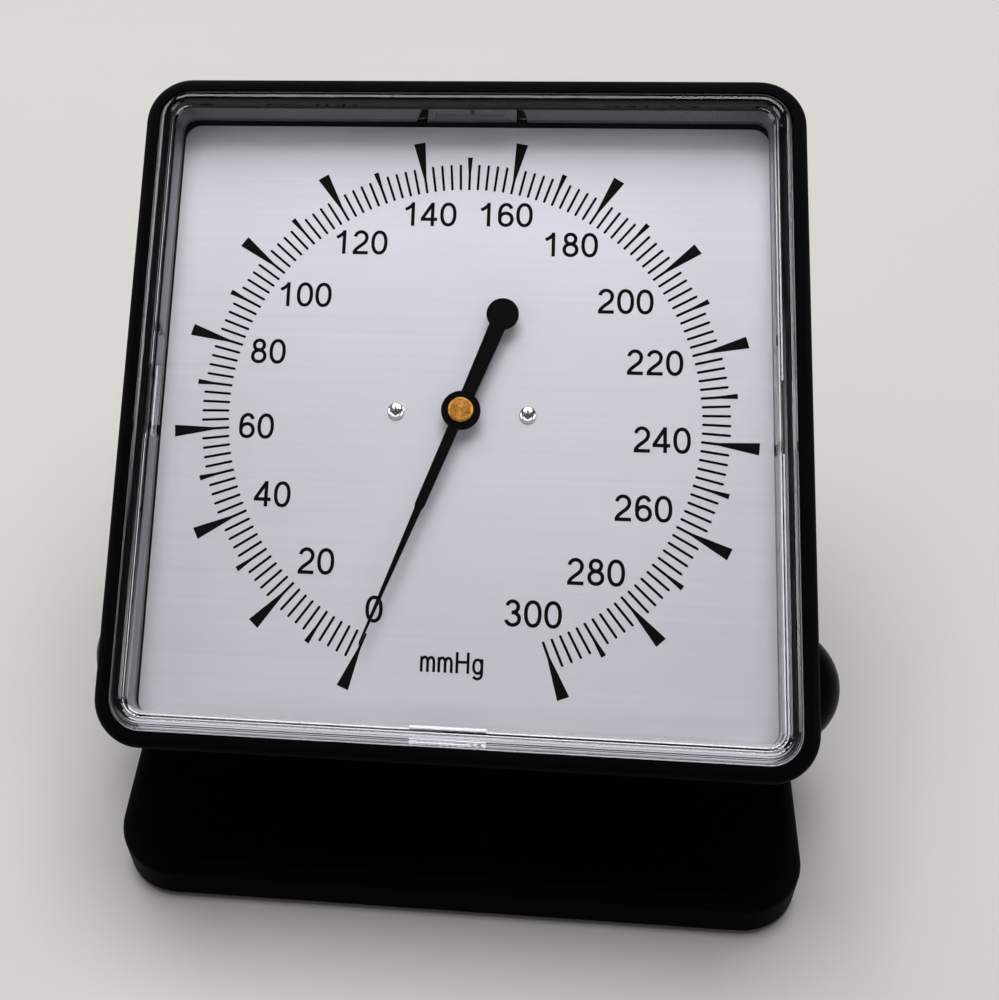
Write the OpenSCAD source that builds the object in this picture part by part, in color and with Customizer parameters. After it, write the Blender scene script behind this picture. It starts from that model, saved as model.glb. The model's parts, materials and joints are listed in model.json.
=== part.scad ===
// Desk aneroid pressure gauge for an arm cuff.
// A nearly square head with a round 0 to 300 scale tilts between two ears of a low foot.
// Origin: middle of the footprint, on the surface that the foot stands on.
// +Z is up and the dial looks towards -Y.
// Head pieces are drawn in the dial's own axes: x to the right, y up the dial,
// z out of the face, with z = 0 on the dial's printed side and the pointer axis at x = y = 0.

/* [Case] */
// Width of the front case
case_w = 150; // [140:1:170]
// Height of the front case
case_h = 151; // [141:1:171]
// Distance of the case's middle below the pointer axis
case_drop = 0.5; // [0:0.1:1]
// Corner radius of the front case
case_corner_r = 10.4; // [9.8:0.2:12]
// Height of the case's front edge above the dial
case_front = 14.5; // [13.5:0.5:17]
// Depth of the front case behind the dial
case_back = 8; // [7:0.5:9]
// Thickness of the case's outer wall
case_wall = 2.5; // [2:0.1:2.8]
// Rounding of the case's front edge
case_edge_r = 2.2; // [1:0.1:2.6]
// Width of the black rim round the window
case_rim = 3.2; // [2.8:0.1:3.4]

/* [Rear cover] */
// Half width of the raised part of the rear cover
box_half_w = 61; // [60:0.5:61.5]
// Reach of the raised part above the pointer axis
box_up = 62; // [56:1:62]
// Reach of the raised part below the pointer axis
box_down = 70; // [68:0.5:70]
// Depth of the raised part behind the dial
box_back = 37; // [36.5:0.5:40]
// Wall thickness of the rear cover
cover_wall = 2.5; // [2:0.1:2.8]
// Thickness of the rear cover's flange
flange_t = 4; // [3.5:0.1:4.5]
// Rounding of the raised part's rear edge
box_edge_r = 8; // [5:0.5:9]

/* [Window] */
// Thickness of the clear window
window_t = 2; // [1.5:0.1:2.4]
// Radius of the window's raised rim
rim_bead_r = 1.8; // [1.4:0.1:1.9]
// Height of the skirt's lower edge above the dial
skirt_low = 6; // [5:0.5:7]
// Width of each snap tab
tab_w = 16; // [10:1:20]

/* [Dial] */
// Thickness of the dial plate
dial_t = 0.8; // [0.5:0.1:1.2]
// Distance of each dial screw from the pointer axis
dial_screw_x = 14.8; // [14:0.1:16]
// Diameter of the dial screws' heads
dial_screw_head_d = 3.8; // [3:0.1:4.5]
// Turn of the pointer from zero to full scale, in degrees
scale_sweep = 317.6; // [300:0.1:330]

/* [Pointer] */
// Length of the pointer from its axis to its tip
pointer_len = 56; // [50:0.5:60]
// Distance of the counterweight from the axis
tail_len = 24; // [18:0.5:28]
// Diameter of the counterweight
counterweight_d = 7.3; // [5:0.1:9]
// Diameter of the pointer's hub
hub_d = 8.8; // [7:0.1:10]
// Thickness of the pointer
pointer_t = 0.6; // [0.4:0.1:1]
// Height of the pointer's underside above the dial
pointer_z = 3; // [2:0.1:4]
// Diameter of the brass boss on the pointer
boss_d = 5.6; // [4.5:0.1:6]

/* [Gears] */
// Module of the gear teeth
gear_module = 0.35; // [0.3:0.01:0.4]
// Number of teeth on the pinion
pinion_teeth = 12; // [12:1:14]
// Number of teeth that the toothed sector would have as a full wheel
sector_teeth = 96; // [84:6:108]
// Diameter of the arbors
arbor_d = 1.5; // [1.2:0.1:1.8]

/* [Movement] */
// Clear height between the two movement plates
movement_gap = 7; // [7:0.1:8]
// Thickness of the movement plates
plate_t = 1.2; // [1:0.1:1.5]
// Diameter of the movement pillars
pillar_d = 4; // [3:0.1:4.5]
// Diameter of the long posts that carry the movement
post_d = 5; // [4:0.1:5]
// Coils of the hairspring
spring_coils = 5; // [3:1:7]

/* [Capsules] */
// Outer diameter of a capsule
capsule_d = 50; // [40:1:51]
// Thickness of a capsule at its middle
capsule_t = 4; // [3.5:0.1:4]
// Thickness of the capsules' sheet
capsule_sheet = 0.35; // [0.2:0.05:0.5]
// Waves across a capsule
capsule_waves = 4; // [3:1:5]

/* [Hose nipple] */
// Outer diameter of the nipple's tube
nipple_d = 5; // [4:0.1:6]
// Diameter of the bore through the nipple
nipple_bore_d = 2.5; // [2:0.1:3]
// Length of the nipple behind the rear cover
nipple_len = 19; // [16:1:22]

/* [Hinge] */
// Height of the tilt axis above the surface that the foot stands on
pivot_height = 35.3; // [34:0.5:40]
// Distance of the tilt axis behind the foot's front edge
pivot_behind_front = 40.3; // [36:0.5:50]
// Distance of the tilt axis below the pointer axis, along the dial
pivot_down = 55; // [52:0.5:56]
// Distance of the tilt axis behind the dial
pivot_back = 22; // [21.5:0.5:24]
// Angle between the dial and the table at rest, in degrees
face_angle = 37; // [30:1:60]
// Width of an ear at the tilt axis
ear_w = 18; // [16:0.5:18.5]
// Thickness of an ear
ear_t = 8.6; // [7:0.1:9]
// Diameter of the clamp bolts
bolt_d = 6; // [5:0.5:7]
// Diameter of the clamp knobs
knob_d = 25; // [22:1:28]
// Length of a clamp knob's head, without its neck
knob_len = 9.9; // [8:0.1:12]

/* [Foot] */
// Width of the foot
foot_w = 152; // [150:1:180]
// Depth of the foot, front to back
foot_depth = 118; // [110:1:140]
// Corner radius of the foot
foot_corner_r = 14; // [10:0.5:18]
// Height of the foot's top face
foot_top = 12; // [11:0.5:13]
// Rounding of the foot's top edge
foot_edge_r = 3; // [1:0.5:5]
// Wall thickness of the foot
foot_wall = 2.5; // [2:0.1:3.5]
// Thickness of the foot plate
foot_plate_t = 2; // [1.5:0.1:2.5]
// Thickness of the rubber mat under the foot
mat_t = 1.5; // [1.3:0.1:2.5]
// Width of the bare border round the rubber mat
mat_border = 8; // [6:1:14]

/* [Hidden] */
$fn = 48;

// Clearances
fit = 0.05;        // radial running fit of a shaft or screw in its hole
gap = 0.3;         // space between pieces of different bodies
slip = 0.2;        // space round a piece that drops into a pocket
eps = 0.01;        // overrun of a cut past the face that it opens

// Front case
core_x = case_w / 2 - case_corner_r;       // half sides of the rectangle whose corners
core_y = case_h / 2 - case_corner_r;       // the case's own corners turn about
case_draft = 0.8;                          // narrowing of the case towards its rear
window_seat = case_front - 2.3;            // height of the ledge that carries the window
seat_w = 1.6;                              // width of that ledge
foot_of_wall = case_corner_r - 6.3;        // inner wall at the dial, outward from the core
top_of_wall = case_corner_r - case_rim - seat_w;
shelf_in = 0.4;                            // inner edge of the shelf under the dial
shelf_t = 2;
shelf_low = -dial_t - shelf_t;
skin_t = 1.9;                              // inner skin between dial well and groove
groove_top = window_seat - 5.2;
cover_screw_out = 2.2;                     // cover screws, outward from that rectangle's corners
cover_screw_d = 2.5;
cover_screw_head_d = 5;
cover_screw_head_t = 1.6;
cover_boss_d = 6.4;
cover_screw_len = 6.5;
lip_h = 1.5;                               // lip of the rear cover inside the front case
lip_t = 1.6;
lip_relief = 1.2;                          // room between that lip and the case's bosses
wall_slope = 0.2;                          // inner slope of the case's outer wall

// Window
window_gap = 0.3;
window_edge = case_corner_r - case_rim - window_gap;
window_top = window_seat + window_t;
skirt_t = 1.5;
skirt_gap = 0.4;
bead_turn = 165;                           // how far the rim's rounding goes over its top
tab_catch = 1.4;                           // reach of a snap tab past the skirt
tab_h = 2.6;
function wall_at(z) = foot_of_wall + (top_of_wall - foot_of_wall) * z / window_seat;

// Movement levels
plate_drop = 3.2;                          // height of the dial posts
upper_top = -dial_t - plate_drop;
upper_low = upper_top - plate_t;
lower_top = upper_low - movement_gap;
lower_low = lower_top - plate_t;
cover_in = -box_back + cover_wall;         // inside face of the rear wall
carrier_t = 2;
carrier_top = cover_in + carrier_t;
arbor_r = arbor_d / 2;
bearing_r = arbor_r + fit;
arbor_low = lower_low - 0.5;

// Gears: the pinion turns on the pointer axis and the sector below it
pressure_angle = 20;
pinion_pitch_r = gear_module * pinion_teeth / 2;
sector_pitch_r = gear_module * sector_teeth / 2;
gear_distance = pinion_pitch_r + sector_pitch_r;
gear_ratio = sector_teeth / pinion_teeth;
sector_swing = scale_sweep / gear_ratio;
backlash = 0.035;                          // thinning of each tooth flank
sector_t = 1;
pinion_t = 3;
sector_top = lower_top + movement_gap / 2 + 0.5;
sector_low = sector_top - sector_t;
pinion_low = sector_low - (pinion_t - sector_t) / 2;
sector_tip_r = sector_pitch_r + 0.8 * gear_module;
sector_root_r = sector_pitch_r - 1.25 * gear_module;
pinion_tip_r = pinion_pitch_r + gear_module;
pinion_root_r = pinion_pitch_r - 1.25 * gear_module;
sector_pitch_deg = 360 / sector_teeth;
teeth_ahead = 2;
teeth_behind = ceil(sector_swing / sector_pitch_deg) + 2;
sector_mid = -(teeth_behind - teeth_ahead) / 2 * sector_pitch_deg;
sector_hole_r = 8.2;                       // inner end of the opening between its two arms
sector_hole_half = 22;                     // half angle of that opening at its outer end
sector_hole_in_half = 14;                  // and at its inner end

// Rocker: turns as far as the sector and pushes its pin sideways
rocker_reach = 5.5;                        // shaft to push ball, and sector arbor to pin
rocker_x = -2.2;
rocker_z = lower_low - 3;
ball_r = 0.5;
pin_r = 0.5;
arm_offset = ball_r + pin_r + gap + 0.2 - rocker_x;
arm_half = 0.3;                            // half width of the arm below its ball
arm_bend = 2.8;                            // the arm bends this far below its ball
rest_turn = -sector_swing / 2;
arm_y = -gear_distance + rocker_reach;
pad_dx = -rocker_x;
pad_dz = -1.2;
pad_r = 0.6;
pad_rest_z = rocker_z + pad_dz * cos(rest_turn) + pad_dx * sin(rest_turn);
rocker_hub_r = 1.4;
rocker_shaft_low = arm_y - 3.9;
rocker_shaft_high = 4.2;
lug_t = 1.4;
lug_half = 2;                              // half width of the lugs that hold the rocker shaft
shaft_proud = 0.2;                         // reach of the shaft past the lugs
rocker_shaft_r = 0.8;

// Hairspring
spring_in = 2.1;
spring_out = 8.4;
spring_wire = 0.2;
spring_h = 1;
spring_top = pinion_low + pinion_t + 1.2;
stud_r = 0.8;

// Plates of the movement
upper_half_w = 19;
upper_up = 13;
upper_window_x = 2.2;                      // half sides of the upper plate's windows
upper_window_y = 4.5;                      // without their round corners
upper_window_r = 1.5;
lower_half_w = 26.5;
lower_up = 22.5;
lower_window_x = 2;
lower_window_y = 7;
lower_window_r = 2;
lower_window_up = 2;                       // middle of the lower windows above the pointer axis
pin_slot_x = 0.6;                          // middle of the slot that the pin and the arm move in
pin_slot_w = 10;
pin_slot_h = 4.4;
plate_down = gear_distance + 6.5;
short_pillar_x = 16;
short_pillar_up = 9.5;
short_pillar_down = -gear_distance - 2.5;
post_x = 22;
post_y = 18.5;
movement_screw_r = 1;
movement_head_r = 1.8;

// Capsules stand on the stem's flange
stem_flange_t = 1.6;
neck_r = 4;
neck_h = 0.6;
capsule_rim_t = 0.8;
capsule_wave_h = 0.3;
capsule_bore_r = 1.2;
capsule_rear_z = carrier_top + stem_flange_t;
capsule_front_z = capsule_rear_z + capsule_t + 2 * neck_h;
capsule_top = capsule_front_z + capsule_t + 2 * neck_h;
stud_low = capsule_top + 0.05;
stud_tip = pad_rest_z - pad_r - gap;
stem_r = 4;
nut_t = 3;
washer_t = 0.8;
washer_border = 3.5;                       // width of the sealing washer round the stem
nut_border = 3.2;                          // from the stem to the corners of its nut

// Hinge, measured outward from the middle of the head
hinge_pad_r = 10;
hinge_pad_t = 1.4;
hinge_washer_t = 0.7;
hinge_washer_r = 9;
ear_in = box_half_w + hinge_pad_t + hinge_washer_t + gap;
ear_out = ear_in + ear_t;
knob_in = ear_out + gap;
knob_head = max(ear_out, case_w / 2 - case_draft) + gap;   // where the knob's head begins
knob_out = knob_head + knob_len;
knob_neck_r = pivot_back - case_back - flange_t - gap;     // clears the rear cover's flange
knob_band = 1;                             // straight edge of the knob under its dome
bolt_r = bolt_d / 2;
bolt_depth = 5.4;                          // reach of the bolt into the knob's head
insert_len = 8;
insert_r = bolt_r + 1.6;
pivot_y = -foot_depth / 2 + pivot_behind_front;

// Foot
foot_core_x = foot_w / 2 - foot_corner_r;
foot_core_y = foot_depth / 2 - foot_corner_r;
foot_draft = 0.6;
foot_roof = foot_top - foot_wall;
plate_top = mat_t + foot_plate_t;
foot_lip = 1.4;                            // part of the wall that stays outside the foot plate
foot_boss_x = foot_w / 2 - 10;
foot_boss_y = foot_core_y - 15;
foot_boss_r = 4;
foot_screw_r = 1.5;
foot_screw_grip = 4;                       // length of the screws above the foot plate
foot_screw_head_r = 2.8;
foot_screw_head_t = 1.2;
mat_r = 8;
mat_side_border = mat_border + 9;          // leaves room for the screws at the sides
ear_flare = 4;

BLACK = [0.05, 0.05, 0.055];
BRASS = [0.78, 0.62, 0.30];
STEEL = [0.66, 0.67, 0.69];
SILVER = [0.80, 0.81, 0.83];
BRONZE = [0.72, 0.52, 0.32];
CLEAR = [0.85, 0.92, 0.97, 0.35];
RUBBER = [0.10, 0.10, 0.10];

// ---------- shared shapes ----------

// Points on an arc about [x, y]
function arc(x, y, r, from, to, steps = 6) =
    [for (i = [0:steps]) let (a = from + (to - from) * i / steps) [x + r * cos(a), y + r * sin(a)]];

// Rectangle with round corners, centred, given by the rectangle its corners turn about
module round_rect(cx, cy, r) {
    square([2 * cx + 2 * r, 2 * cy], center = true);
    square([2 * cx, 2 * cy + 2 * r], center = true);
    for (x = [-cx, cx], y = [-cy, cy]) translate([x, y]) circle(r = r);
}

// Sweeps a profile (outward, height) round the rectangle that the corners turn about
module swept_rim(cx, cy) {
    for (k = [0:3]) {
        across = k % 2 == 0 ? cx : cy;
        along = k % 2 == 0 ? cy : cx;
        rotate([0, 0, 90 * k]) translate([across, along, 0]) {
            rotate_extrude(angle = 90) children();
            rotate([90, 0, 0]) linear_extrude(height = 2 * along) children();
        }
    }
}

// Puts a piece drawn in the dial's axes where the head is at rest
module on_head() {
    translate([0, pivot_y, pivot_height])
        rotate([face_angle, 0, 0])
            translate([0, pivot_down, pivot_back]) children();
}

// Puts a piece on the middle of the case
module on_case() {
    on_head() translate([0, -case_drop, 0]) children();
}

// Repeats a piece at the four corners of a rectangle
module at_corners(x, y) {
    for (sx = [-1, 1], sy = [-1, 1]) translate([sx * x, sy * y, 0]) children();
}

// Repeats a piece at the four cover screws
module at_cover_screws() {
    at_corners(core_x + cover_screw_out, core_y + cover_screw_out) children();
}

// Repeats a piece at the middle of the case's four sides, pointing outward
module at_sides() {
    for (k = [0:3]) rotate([0, 0, 90 * k])
        translate([k % 2 == 0 ? core_x : core_y, 0, 0]) children();
}

// Ring or tube standing on z = 0
module tube(r_out, r_in, h) {
    difference() {
        cylinder(r = r_out, h = h);
        translate([0, 0, -eps]) cylinder(r = r_in, h = h + 2 * eps);
    }
}

// Screw with a low domed head: head above z = 0, shank below
module pan_screw(shank_r, shank_len, head_r, head_t) {
    translate([0, 0, -shank_len]) cylinder(r = shank_r, h = shank_len);
    rotate_extrude() polygon(concat([[0, 0], [head_r, 0]],
        [for (i = [0:5]) let (a = 90 * i / 5)
            [head_r * cos(a) * 0.6 + head_r * 0.4 * (1 - i / 5), head_t * (0.4 + 0.6 * sin(a))]],
        [[0, head_t]]));
}

// Cross recess for a screw head whose top is at z = 0
module cross_recess(size, depth) {
    for (a = [0, 90]) rotate([0, 0, a])
        translate([-size / 2, -size / 10, -depth]) cube([size, size / 5, depth + 1]);
}

// ---------- head: case ----------

module front_case() color(BLACK) on_case() {
    r = case_corner_r;
    difference() {
        union() {
            swept_rim(core_x, core_y) polygon(concat(
                [[r - case_draft, -case_back]],
                arc(r - case_edge_r, case_front - case_edge_r, case_edge_r, 0, 90),
                [[r - case_rim, case_front], [r - case_rim, window_seat],
                 [top_of_wall, window_seat], [foot_of_wall, 0], [foot_of_wall, -dial_t],
                 [shelf_in, -dial_t], [shelf_in, shelf_low],
                 [foot_of_wall + skin_t, shelf_low], [wall_at(groove_top) + skin_t, groove_top],
                 [r - case_wall - wall_slope, groove_top], [r - case_wall - case_draft, -case_back]]));
            at_cover_screws()
                translate([0, 0, -case_back])
                    cylinder(d = cover_boss_d, h = case_back + shelf_low + shelf_t / 4);
        }
        at_cover_screws()
            translate([0, 0, -case_back - eps])
                cylinder(r = cover_screw_d / 2 + fit, h = case_back + shelf_low + shelf_t / 2);
        at_sides()
            translate([wall_at(skirt_low) - 1, -tab_w / 2 - gap, skirt_low - 0.1])
                cube([1 + tab_catch + 0.6, tab_w + 2 * gap, tab_h + 0.4]);
    }
}

module window() color(CLEAR) on_case() {
    r = window_edge;
    bead_x = r - rim_bead_r;
    bead_z = window_top - 0.1;
    low_out = wall_at(skirt_low) - skirt_gap;
    high_out = wall_at(window_seat) - skirt_gap;
    translate([0, 0, window_seat]) linear_extrude(height = window_t)
        square([2 * core_x, 2 * core_y], center = true);
    swept_rim(core_x, core_y) polygon(concat(
        [[0, window_seat], [high_out - skirt_t, window_seat], [low_out - skirt_t, skirt_low],
         [low_out, skirt_low], [high_out, window_seat], [r, window_seat]],
        arc(bead_x, bead_z, rim_bead_r, 0, bead_turn, 9),
        [[bead_x - rim_bead_r - 0.6, window_top], [0, window_top]]));
    at_sides()
        translate([0, tab_w / 2, 0]) rotate([90, 0, 0]) linear_extrude(height = tab_w)
            polygon([[low_out - skirt_t / 2, skirt_low + 0.1], [low_out, skirt_low + 0.1],
                [low_out + tab_catch, skirt_low + tab_h - 0.6], [low_out + tab_catch, skirt_low + tab_h],
                [low_out - skirt_t / 2, skirt_low + tab_h]]);
}

module rear_cover() color(BLACK) on_head() {
    r = case_corner_r - case_draft;
    flange_low = -case_back - flange_t;
    box_r = 12;
    box_cx = box_half_w - box_r;
    box_cy = (box_up + box_down) / 2 - box_r;
    box_y = (box_up - box_down) / 2;
    taper = 0.4;
    in_r = box_edge_r - cover_wall;
    lip_r = case_corner_r - case_wall - case_draft - slip;
    head_low = -box_back;
    difference() {
        union() {
            // flange and the lip that centres it in the front case
            difference() {
                translate([0, -case_drop, 0]) {
                    translate([0, 0, flange_low + 1]) linear_extrude(height = flange_t - 1)
                        round_rect(core_x, core_y, r);
                    translate([0, 0, flange_low]) linear_extrude(height = 1)
                        round_rect(core_x, core_y, r - 1);
                    translate([0, 0, -case_back]) linear_extrude(height = lip_h)
                        round_rect(core_x, core_y, lip_r);
                }
                translate([0, -case_drop, -case_back]) linear_extrude(height = lip_h + 1)
                    round_rect(core_x, core_y, lip_r - lip_t);
                translate([0, box_y, flange_low - 1]) linear_extrude(height = flange_t + 2)
                    round_rect(box_cx, box_cy, box_r - cover_wall);
            }
            // raised part
            translate([0, box_y, 0]) {
                swept_rim(box_cx, box_cy) polygon(concat(
                    [[box_r - cover_wall, flange_low + eps], [box_r, flange_low + eps]],
                    arc(box_r - taper - box_edge_r, head_low + box_edge_r, box_edge_r, 0, -90),
                    [[0, head_low], [0, cover_in]],
                    arc(box_r - taper - box_edge_r, head_low + box_edge_r, in_r, -90, 0)));
                translate([0, 0, head_low]) linear_extrude(height = cover_wall)
                    square([2 * box_cx, 2 * box_cy], center = true);
            }
            // seats for the hinge: a pad outside and a boss inside
            for (s = [-1, 1]) translate([s * box_half_w, -pivot_down, -pivot_back]) rotate([0, s * 90, 0]) {
                translate([0, 0, -taper - 0.2]) cylinder(r = hinge_pad_r, h = hinge_pad_t + taper + 0.2);
                translate([0, 0, -insert_len - 1.5]) cylinder(r = insert_r + 2, h = insert_len + 1);
            }
            // sleeves round the cover screws, up to the case's bosses
            translate([0, -case_drop, flange_low + 1]) at_cover_screws()
                cylinder(d = cover_boss_d, h = flange_t - 1);
        }
        translate([0, -case_drop, 0]) at_cover_screws() {
            translate([0, 0, flange_low - 1]) cylinder(r = cover_screw_d / 2 + fit, h = flange_t + 3);
            translate([0, 0, flange_low - 1])
                cylinder(r = cover_screw_head_d / 2 + slip, h = 1 + cover_screw_head_t + slip);
            translate([0, 0, -case_back]) cylinder(r = cover_boss_d / 2 + lip_relief, h = lip_h + 1);
        }
        for (s = [-1, 1]) translate([s * box_half_w, -pivot_down, -pivot_back]) rotate([0, s * 90, 0])
            translate([0, 0, -insert_len - 2]) {
                cylinder(r = bolt_r + slip, h = insert_len + 6);
                cylinder(r = insert_r + fit, h = insert_len + 2);
            }
        translate([0, 0, -box_back - 1]) cylinder(r = stem_r + slip, h = cover_wall + 2);
    }
}

module cover_screws() color(STEEL) on_case() {
    head_seat = -case_back - flange_t + cover_screw_head_t + slip;
    at_cover_screws() translate([0, 0, head_seat]) rotate([180, 0, 0])
        difference() {
            pan_screw(cover_screw_d / 2, cover_screw_len, cover_screw_head_d / 2, cover_screw_head_t);
            translate([0, 0, cover_screw_head_t]) cross_recess(2.6, 0.8);
        }
}

// ---------- head: dial ----------

module dial_plate() color(SILVER) on_head() translate([0, 0, -dial_t]) linear_extrude(height = dial_t)
    difference() {
        translate([0, -case_drop]) round_rect(core_x, core_y, foot_of_wall - slip);
        circle(d = boss_d + 1.4);
        for (s = [-1, 1]) translate([s * dial_screw_x, 0]) circle(r = movement_screw_r + fit);
    }

module dial_screws() color(STEEL) on_head() {
    head_t = 0.9;
    for (s = [-1, 1]) translate([s * dial_screw_x, 0, 0]) difference() {
        pan_screw(movement_screw_r, dial_t + plate_drop - 0.4, dial_screw_head_d / 2, head_t);
        translate([0, 0, head_t]) cross_recess(2.2, 0.45);
    }
}

module dial_posts() color(BRASS) on_head()
    for (s = [-1, 1]) translate([s * dial_screw_x, 0, upper_top])
        tube(pillar_d / 2 + 0.4, movement_screw_r + fit, plate_drop);

// ---------- pointer group ----------

// Turns a piece of the pointer group so that the pointer shows zero
module at_zero() {
    rotate([0, 0, scale_sweep / 2]) children();
}

module pointer() color(BLACK) on_head() at_zero() translate([0, 0, pointer_z]) {
    shoulder = 0.41 * pointer_len;
    hub_half = 1.5;
    root_half = 1.25;
    shoulder_half = 1.1;
    blade_half = 0.8;
    tip_half = 0.22;
    tail_half = 1.95;
    difference() {
        union() {
            linear_extrude(height = pointer_t)
                polygon([[-hub_half, 0], [-root_half, 3], [-shoulder_half, shoulder],
                    [-blade_half, shoulder + 1], [-tip_half, pointer_len - 0.7], [0, pointer_len],
                    [tip_half, pointer_len - 0.7], [blade_half, shoulder + 1],
                    [shoulder_half, shoulder], [root_half, 3], [hub_half, 0],
                    [tail_half, -tail_len], [-tail_half, -tail_len]]);
            cylinder(d = hub_d, h = pointer_t);
            translate([0, -tail_len, 0]) cylinder(d = counterweight_d, h = pointer_t);
        }
        translate([0, 0, -eps]) cylinder(d = boss_d - 1.6 + 2 * fit, h = pointer_t + 2 * eps);
    }
}

module pointer_boss() color(BRASS) on_head() translate([0, 0, pointer_z])
    difference() {
        union() {
            translate([0, 0, -1.2]) cylinder(d = boss_d - 1.6, h = 1.2 + pointer_t);
            translate([0, 0, pointer_t]) cylinder(d = boss_d, h = 0.9);
            translate([0, 0, pointer_t + 0.9]) cylinder(d1 = boss_d, d2 = boss_d - 1, h = 0.3);
        }
        translate([0, 0, -2]) cylinder(r = bearing_r, h = 2 + pointer_t + 0.8);
    }

// Involute function in degrees
function inv(a) = tan(a) * 180 / PI - a;
// Half angle of a tooth at radius r, for a gear of pitch radius p with n teeth
function half_tooth(p, n, r) =
    let (base = p * cos(pressure_angle))
    90 / n - backlash / p * 180 / PI + inv(pressure_angle) - inv(acos(min(1, base / r)));
// Outline of one tooth centred on angle a, from root to tip and back
function tooth(p, n, root, tip, a) =
    let (base = p * cos(pressure_angle), low = max(root + 0.02, base),
         steps = 4,
         rs = concat([root], [for (i = [0:steps]) low + (tip - low) * i / steps]))
    concat([for (r = rs) let (t = a - half_tooth(p, n, r)) [r * cos(t), r * sin(t)]],
           [for (i = [len(rs) - 1:-1:0]) let (t = a + half_tooth(p, n, rs[i]))
               [rs[i] * cos(t), rs[i] * sin(t)]]);

module pinion() color(BRASS) on_head() translate([0, 0, pinion_low]) {
    difference() {
        linear_extrude(height = pinion_t) polygon([for (i = [0:pinion_teeth - 1])
            each tooth(pinion_pitch_r, pinion_teeth, pinion_root_r, pinion_tip_r,
                -90 + (i + 0.5) * 360 / pinion_teeth)]);
        translate([0, 0, -eps]) cylinder(r = bearing_r, h = pinion_t + 2 * eps);
    }
}

module pointer_arbor() color(STEEL) on_head() {
    translate([0, 0, arbor_low]) cylinder(r = arbor_r, h = pointer_z + pointer_t + 0.7 - arbor_low);
}

module hairspring_collet() color(BRASS) on_head()
    translate([0, 0, spring_top - spring_h - 0.1]) tube(spring_in - 0.15, bearing_r, spring_h + 0.2);

// One edge of the hairspring's strip, offset outward by side
function spring_edge(side) =
    let (steps = spring_coils * 20)
    [for (i = [0:steps]) let (a = spring_coils * 360 * i / steps,
        r = spring_in + (spring_out - spring_in) * i / steps + side)
        [r * cos(a), r * sin(a)]];

module hairspring() color(BRONZE) on_head()
    translate([0, 0, spring_top - spring_h]) linear_extrude(height = spring_h) {
        inner = spring_edge(0);
        polygon(concat(spring_edge(spring_wire), [for (i = [len(inner) - 1:-1:0]) inner[i]]));
    }

module hairspring_stud() color(BRASS) on_head()
    translate([spring_out + spring_wire + stud_r + 0.1, 0, spring_top - spring_h])
        cylinder(r = stud_r, h = upper_low - spring_top + spring_h);

// ---------- movement frame ----------

module upper_plate() color(BRASS) on_head() translate([0, 0, upper_low]) linear_extrude(height = plate_t)
    difference() {
        r = 4;
        height = upper_up + plate_down;
        translate([0, (upper_up - plate_down) / 2])
            round_rect(upper_half_w - r, height / 2 - r, r);
        circle(r = bearing_r);
        translate([0, -gear_distance]) circle(r = bearing_r);
        for (s = [-1, 1]) {
            translate([s * short_pillar_x, short_pillar_up]) circle(r = movement_screw_r + fit);
            translate([s * short_pillar_x, short_pillar_down]) circle(r = movement_screw_r + fit);
            // windows that lighten the plate
            translate([s * upper_half_w / 2, -gear_distance / 2])
                round_rect(upper_window_x, upper_window_y, upper_window_r);
        }
    }

module lower_plate() color(BRASS) on_head() translate([0, 0, lower_low]) linear_extrude(height = plate_t)
    difference() {
        r = 5;
        height = lower_up + plate_down;
        translate([0, (lower_up - plate_down) / 2])
            round_rect(lower_half_w - r, height / 2 - r, r);
        circle(r = bearing_r);
        translate([0, -gear_distance]) circle(r = bearing_r);
        at_corners(post_x, post_y) circle(r = movement_screw_r + fit);
        // slot for the sector pin and the rocker arm
        translate([pin_slot_x, arm_y]) square([pin_slot_w, pin_slot_h], center = true);
        for (s = [-1, 1]) translate([s * lower_half_w / 2, lower_window_up])
            round_rect(lower_window_x, lower_window_y, lower_window_r);
    }

module short_pillars() color(BRASS) on_head()
    for (s = [-1, 1], y = [short_pillar_up, short_pillar_down])
        translate([s * short_pillar_x, y, lower_top])
            difference() {
                cylinder(d = pillar_d, h = movement_gap);
                translate([0, 0, 1]) cylinder(r = movement_screw_r + fit, h = movement_gap);
            }

module pillar_screws() color(STEEL) on_head()
    for (s = [-1, 1], y = [short_pillar_up, short_pillar_down])
        translate([s * short_pillar_x, y, upper_top]) difference() {
            pan_screw(movement_screw_r, plate_t + 4, movement_head_r, 1);
            translate([-movement_head_r, -0.2, 0.55]) cube([2 * movement_head_r, 0.4, 1]);
        }

module long_posts() color(BRASS) on_head() at_corners(post_x, post_y) translate([0, 0, carrier_top])
    difference() {
        height = lower_low - carrier_top;
        cylinder(d = post_d, h = height);
        translate([0, 0, height - 6]) cylinder(r = movement_screw_r + fit, h = 7);
    }

module post_screws() color(STEEL) on_head() at_corners(post_x, post_y) translate([0, 0, lower_top])
    difference() {
        pan_screw(movement_screw_r, plate_t + 5, movement_head_r, 1);
        translate([-movement_head_r, -0.2, 0.55]) cube([2 * movement_head_r, 0.4, 1]);
    }

module carrier_plate() color(STEEL) on_head() translate([0, 0, cover_in])
    tube(norm([post_x, post_y]) + post_d / 2 + 1.5, stem_r + fit, carrier_t);

// ---------- toothed sector ----------

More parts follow.
